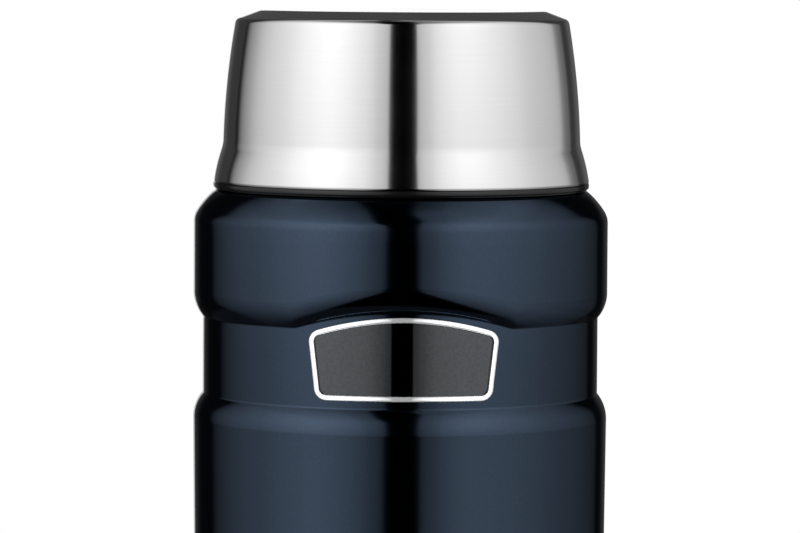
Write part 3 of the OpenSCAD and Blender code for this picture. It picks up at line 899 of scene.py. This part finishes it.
# %% Finishes for the remaining nodes
KEPT = (
    (LINER_STEEL, "liner_wall", "liner_base", "lid_bowl"),
    (BASE_STEEL, "vacuum_base", "base_cover", "getter_clip"),
    (COPPER_FOIL, "foil_wrap", "foil_disc"),
    (GETTER_METAL, "getter"),
    (BRAZE, "seal_bead"),
    (ADHESIVE, "badge_pad"),
    (STOPPER_BLACK, "stopper_body"),
    (SILICONE, "stopper_gasket"),
    (FOAM, "stopper_foam", "lid_insulation"),
)
for finish, *nodes in KEPT:
    for node in nodes:
        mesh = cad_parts[node].data
        mesh.materials.clear()
        mesh.materials.append(finish)
    print(finish.name, "on", nodes)

# %% [markdown]
# ## The studio
#
# Polished metal has no look of its own: it shows the room. This room has two big light panels, left and
# right of the camera, a narrow dark gap between them and a dark rear. It is painted into the world by
# direction, which keeps it smooth. A direction has three parts, from -1 to 1: across, to the front and up.
# A Float Curve turns one of them into brightness, through a few listed points.

# %% Curves for the room


def curve(tree, value, *points):
    """A value looked up on a smooth curve through the points, all between 0 and 1."""
    node = put(tree, "ShaderNodeFloatCurve", {"Value": value})
    line = node.mapping.curves[0]
    line.points[0].location, line.points[-1].location = points[0], points[-1]
    for point in points[1:-1]:
        line.points.new(*point)
    for point in line.points:
        point.handle_type = "AUTO_CLAMPED"
    node.mapping.update()
    return node.outputs["Value"]


def half_up(tree, value):
    """A direction's part, from -1..1 to 0..1."""
    return calc(tree, "MULTIPLY_ADD", value, 0.5, 0.5)


def product(tree, first, *others):
    """All the values multiplied."""
    for other in others:
        first = calc(tree, "MULTIPLY", first, other)
    return first


# %% [markdown]
# ## The panels
#
# The gap draws the dark band down the middle of the jar, so the panels' rise from its edges is the curve
# that shows most. Towards the rear they fade, which draws the dark sides of the jar, and the fade moves
# with the height, because the panels lean. The left one is a little brighter than the right one.

# %% Panels
FROM_GAP = (
    (0, 0), (0.10, 0.004), (0.139, 0.09), (0.156, 0.22), (0.174, 0.29), (0.21, 0.365), (0.28, 0.465),
    (0.36, 0.63), (0.43, 0.745), (0.50, 0.83), (0.574, 0.915), (0.64, 0.955), (0.72, 0.99), (1, 1),
)
FROM_REAR = (
    (0, 0), (0.12, 0.015), (0.137, 0.03), (0.158, 0.12), (0.188, 0.215), (0.213, 0.262), (0.289, 0.38),
    (0.371, 0.475), (0.456, 0.55), (0.544, 0.645), (0.629, 0.78), (0.711, 0.88), (0.787, 0.97),
    (0.85, 1), (1, 1),
)
BY_HEIGHT = (
    (0, 0), (0.09, 0.03), (0.14, 0.18), (0.25, 0.36), (0.37, 0.53), (0.41, 0.57), (0.455, 0.56),
    (0.468, 0.70), (0.52, 0.76), (0.61, 0.86), (0.70, 0.95), (0.787, 1), (0.85, 0.97), (0.90, 0.98),
    (0.93, 0.92), (0.955, 0.90), (0.975, 0.82), (0.988, 0.66), (1, 0.44),
)
PANEL_LIGHT = 1.57


def sideways(tree, x, up):
    """How far a direction points to either side. Overhead the gap drifts left, and low down it widens."""
    right = calc(tree, "ADD", x, ramp(tree, up, 0.86, 0.97, 0.0, 0.07))
    left = calc(tree, "MULTIPLY_ADD", x, -1.0, ramp(tree, up, 0.55, 0.80, 0.0, -0.06))
    side = calc(tree, "MAXIMUM", calc(tree, "MAXIMUM", right, left), 0.0)
    return calc(tree, "SUBTRACT", side, ramp(tree, up, -0.03, -0.12, 0.0, 0.025))


def rise_from_gap(tree, side, front, up):
    """The panels' rise from the gap, which closes overhead towards the rear."""
    closed = product(tree, ramp(tree, front, -0.25, -0.5), ramp(tree, up, 0.80, 0.88))
    return curve(tree, calc(tree, "ADD", side, closed), *FROM_GAP)


def fade_to_rear(tree, front, up):
    """The panels' fade, drawn in or out at some heights."""
    shift = calc(tree, "SUBTRACT", ramp(tree, up, 0.1, 0.5, 0.0, 0.12), ramp(tree, up, 0.66, 0.86, 0.0, 0.33))
    shift = calc(tree, "ADD", shift, ramp(tree, up, -0.2, -0.55, 0.0, 0.17))
    shift = product(tree, shift, ramp(tree, front, 0.15, -0.25))
    return curve(tree, half_up(tree, calc(tree, "SUBTRACT", front, shift)), *FROM_REAR)


def panel_brightness(tree, x, side, up):
    """The panels' light by height, less on the right than on the left."""
    lean = product(tree, ramp(tree, side, 0.45, 0.85), ramp(tree, up, 0.62, 0.85, -0.25, 0.0))
    uneven = calc(tree, "MULTIPLY_ADD", x, lean, PANEL_LIGHT)
    return product(tree, curve(tree, half_up(tree, up), *BY_HEIGHT), uneven)


print("curve points:", len(FROM_GAP), len(FROM_REAR), len(BY_HEIGHT))

# %% [markdown]
# ## Below and behind
#
# On the floor the gap goes on as a dark strip with straight edges. How far a spot on the floor lies off is
# its part to the side divided by its part downwards, as on a map. The rear is nearly dark. A faint glow
# keeps the lid's bevel readable, and low behind the jar the backdrop shows as a thin bright outline.

# %% Floor and rear of the room
OVERHEAD_BEHIND = ((0, 0), (0.10, 0), (0.24, 0.05), (0.80, 0.05), (0.88, 0.4), (1, 0.5))


def with_floor(tree, lit, side, front, up):
    """The panels' light without the dark strip, plus the floor close to the jar."""
    depth = calc(tree, "MAXIMUM", calc(tree, "MULTIPLY", up, -1.0), 0.02)
    beside_strip = ramp(tree, calc(tree, "DIVIDE", side, depth), 0.52, 0.70)
    away = calc(tree, "DIVIDE", calc(tree, "MAXIMUM", front, 0.0), depth)
    near = product(tree, ramp(tree, away, 0.52, 0.66, 0.06, 0.0), ramp(tree, up, -0.3, -0.4))
    return calc(tree, "ADD", product(tree, lit, beside_strip), near)


def dark_rear(tree, x, front, up):
    """The rear's faint glow, and what hangs over it."""
    glow = ramp(tree, front, 0.3, -0.2, 0.0, 0.02)
    middle = ramp(tree, calc(tree, "ABSOLUTE", x), 0.45, 0.25)
    over = product(tree, curve(tree, up, *OVERHEAD_BEHIND), ramp(tree, front, -0.5, -0.7), middle)
    return calc(tree, "MAXIMUM", glow, over)


def backdrop(tree, x, front, up):
    """The backdrop right behind the jar, with a soft margin."""
    margin = ramp(tree, calc(tree, "MULTIPLY_ADD", x, -0.10, front), -0.84, -0.95, 0.0, 0.07)
    shown = calc(tree, "ADD", ramp(tree, front, -0.985, -0.995), margin)
    return product(tree, shown, ramp(tree, calc(tree, "ABSOLUTE", up), 0.12, 0.2, 1.0, 0.0))


def room(tree, direction):
    """Brightness of the room in a direction."""
    x, y, up = put(tree, "ShaderNodeSeparateXYZ", {0: direction}).outputs
    side = sideways(tree, x, up)
    front = calc(tree, "MULTIPLY_ADD", x, 0.08, calc(tree, "MULTIPLY", y, -1.0))
    risen = rise_from_gap(tree, side, front, up)
    slant = product(tree, x, calc(tree, "MINIMUM", up, calc(tree, "MULTIPLY", up, 0.4)))
    front = calc(tree, "MULTIPLY_ADD", slant, -0.3, front)
    lit = product(tree, risen, fade_to_rear(tree, front, up), panel_brightness(tree, x, side, up))
    lit = with_floor(tree, lit, side, front, up)
    lit = calc(tree, "MAXIMUM", lit, dark_rear(tree, x, front, up))
    return calc(tree, "ADD", lit, backdrop(tree, x, front, up))


# %% [markdown]
# ## The world
#
# Light Path tells the world who is asking. Mirrored rays get the painted room, the camera and clear
# materials get plain white, and matt surfaces get an even light, so that their colours look as written.

# %% World
EVEN_LIGHT = 0.9


def studio_world():
    world = bpy.data.worlds.new("studio")
    world.use_nodes = True
    tree = world.node_tree
    tree.nodes.clear()
    looked = put(tree, "ShaderNodeTexCoord").outputs["Generated"]
    ray = put(tree, "ShaderNodeLightPath").outputs
    mirrored = {0: ray["Is Glossy Ray"], 2: EVEN_LIGHT, 3: room(tree, looked)}
    seen = put(tree, "ShaderNodeMix", mirrored, data_type="FLOAT").outputs[0]
    shown = calc(tree, "MAXIMUM", ray["Is Camera Ray"], ray["Is Transmission Ray"])
    final = put(tree, "ShaderNodeMix", {0: shown, 2: seen, 3: 1.0}, data_type="FLOAT").outputs[0]
    light = put(tree, "ShaderNodeBackground", {"Color": (1, 1, 1, 1), "Strength": final})
    out = put(tree, "ShaderNodeOutputWorld")
    tree.links.new(light.outputs[0], out.inputs["Surface"])
    world.cycles.sampling_method = "NONE"
    bpy.context.scene.world = world
    return tree


print("nodes in the world:", len(studio_world().nodes))

# %% [markdown]
# ## Floor and shadow light
#
# The floor is a pale disc. Towards its edge it melts into the white room, so no edge shows from any side,
# and under the jar it keeps the soft shadow of one large lamp overhead. The metal doesn't mirror the disc,
# because the painted room already has a floor of its own.

# %% Floor
FLOOR_R = 380


def floor_material():
    material, tree, surface = new_material("pale_floor", Base_Color=(0.86, 0.86, 0.85, 1.0), Roughness=0.6)
    place = put(tree, "ShaderNodeTexCoord").outputs["Object"]
    away = put(tree, "ShaderNodeVectorMath", {0: place}, operation="LENGTH").outputs["Value"]
    edge = ramp(tree, away, 0.12, 0.36)
    seen = put(tree, "ShaderNodeLightPath").outputs["Is Camera Ray"]
    white = put(tree, "ShaderNodeEmission", {"Color": (1, 1, 1, 1), "Strength": 1.0})
    melt = put(tree, "ShaderNodeMixShader", {0: calc(tree, "MULTIPLY", edge, seen)})
    out = tree.nodes["Material Output"]
    tree.links.new(surface.outputs[0], melt.inputs[1])
    tree.links.new(white.outputs[0], melt.inputs[2])
    tree.links.new(melt.outputs[0], out.inputs["Surface"])
    return material


def floor():
    turn = np.linspace(0, 2 * math.pi, 96, endpoint=False)
    radii = np.linspace(0, FLOOR_R, 20)
    grid = np.array([[(r * math.cos(t), r * math.sin(t), 0.0) for t in turn] for r in radii])
    disc = skin("floor", grid, closed_rows=False)
    disc.data.materials.append(floor_material())
    disc.visible_glossy = False


def area_lamp(name, location, turned, energy, **settings):
    """A lamp that the camera doesn't see."""
    data = bpy.data.lights.new(name, "AREA")
    data.energy = energy
    for setting, value in settings.items():
        setattr(data, setting, value)
    lamp = bpy.data.objects.new(name, data)
    lamp.location = location
    lamp.rotation_euler = [math.radians(angle) for angle in turned]
    bpy.context.scene.collection.objects.link(lamp)
    return lamp


floor()
overhead = area_lamp("overhead", (-0.35, -0.45, 1.1), (22, -17, 0), 3.0, shape="DISK", size=0.9)
overhead.visible_glossy = False
print("floor", 2 * FLOOR_R, "mm wide, lamp", round(overhead.location.z, 2), "m high")

# %% [markdown]
# ## Cards for the lid and the badge
#
# Steel and enamel are paler than the lacquer, and a room that flatters one is too contrasty for the
# others. In a real studio, plain cards stand where only one piece sees them. Light linking does the same:
# each card lights its receiver collection and nothing else, and the dark gap stays between the cards.
# A lamp's nodes know the place on the card, so a curve across it can fade its ends, which would otherwise
# show in the metal as steps.

# %% Cards
CARD_AWAY = 1.2


def card(name, azimuths, heights, brightness, only, *profile):
    """A card over a span of azimuths. The profile is its brightness from its left end to its right one."""
    middle = sum(azimuths) / 2
    turn = math.radians(middle)
    width = 2 * CARD_AWAY * math.tan(math.radians(azimuths[1] - azimuths[0]) / 2)
    tall = heights[1] - heights[0]
    place = (CARD_AWAY * math.sin(turn), -CARD_AWAY * math.cos(turn), sum(heights) / 2)
    energy = math.pi * brightness * width * tall
    made = area_lamp(name, place, (90, 0, middle), energy, shape="RECTANGLE", size=width, size_y=tall)
    made.visible_camera = False
    made.data.use_nodes = True
    tree = made.data.node_tree
    spot = put(tree, "ShaderNodeNewGeometry").outputs["Parametric"]
    across = put(tree, "ShaderNodeSeparateXYZ", {0: spot}).outputs[0]
    tree.links.new(curve(tree, across, *profile), tree.nodes["Emission"].inputs["Strength"])
    made.light_linking.receiver_collection = only
    print(f"{name} {width:.2f} m wide")


def lit_only(name, *pieces):
    """A collection of the pieces that a card may light."""
    only = bpy.data.collections.new(name)
    for piece in pieces:
        only.objects.link(piece)
    return only


def flipped(profile):
    return [(1 - place, value) for place, value in reversed(profile)]


LID_CARD = (0.06, 2.26)
BADGE_CARD = (-0.4, 0.4)
LEFT = ((0, 0), (0.119, 0.24), (0.213, 0.42), (0.30, 0.72), (0.42, 0.88), (0.69, 0.88), (0.86, 1), (1, 1))
RIGHT = ((0, 1), (0.14, 1), (0.31, 0.88), (0.70, 0.88), (0.80, 0.84), (0.881, 0.5), (0.94, 0.1), (1, 0))
LEFT_OF_BADGE = ((0, 1), (0.705, 1), (0.832, 0.77), (0.90, 0.6), (0.97, 0.55), (1, 0.45))
lid_only = lit_only("lid_only", lid_shell)
badge_only = lit_only("badge_only", badge_face, badge_tray)
card("left_card", (-131, -9), LID_CARD, 0.42, lid_only, *LEFT)
card("right_card", (9, 131), LID_CARD, 0.42, lid_only, *RIGHT)
card("rear_card", (134, 226), LID_CARD, 0.036, lid_only, (0, 1), (1, 1))
card("left_badge_card", (-60, -6), BADGE_CARD, 0.95, badge_only, *LEFT_OF_BADGE)
card("right_badge_card", (6, 60), BADGE_CARD, 0.95, badge_only, *flipped(LEFT_OF_BADGE))

# %% [markdown]
# ## Camera
#
# A long lens keeps the jar's sides straight. The camera stands a little to the left, just above the lid,
# and looks down by under four degrees. The jar is cut by the bottom of the frame, so the aim is above its
# middle.

# %% Camera
camera_data = bpy.data.cameras.new("camera")
camera_data.lens = 221.2
camera_data.clip_end = 20.0
camera = bpy.data.objects.new("camera", camera_data)
AZIMUTH = -1.2
DISTANCE = 1.15
EYE_HEIGHT = 0.199
LOOKS_DOWN, LEANS, AIMS_LEFT = 3.728, -0.35, 0.028
turn = math.radians(AZIMUTH)
camera.location = (math.sin(turn) * DISTANCE, -math.cos(turn) * DISTANCE, EYE_HEIGHT)
camera.rotation_euler = [math.radians(a) for a in (90 - LOOKS_DOWN, LEANS, AZIMUTH + AIMS_LEFT)]
bpy.context.scene.collection.objects.link(camera)
bpy.context.scene.camera = camera
bpy.context.scene.view_settings.view_transform = "Standard"
print("camera at", tuple(round(v, 3) for v in camera.location))
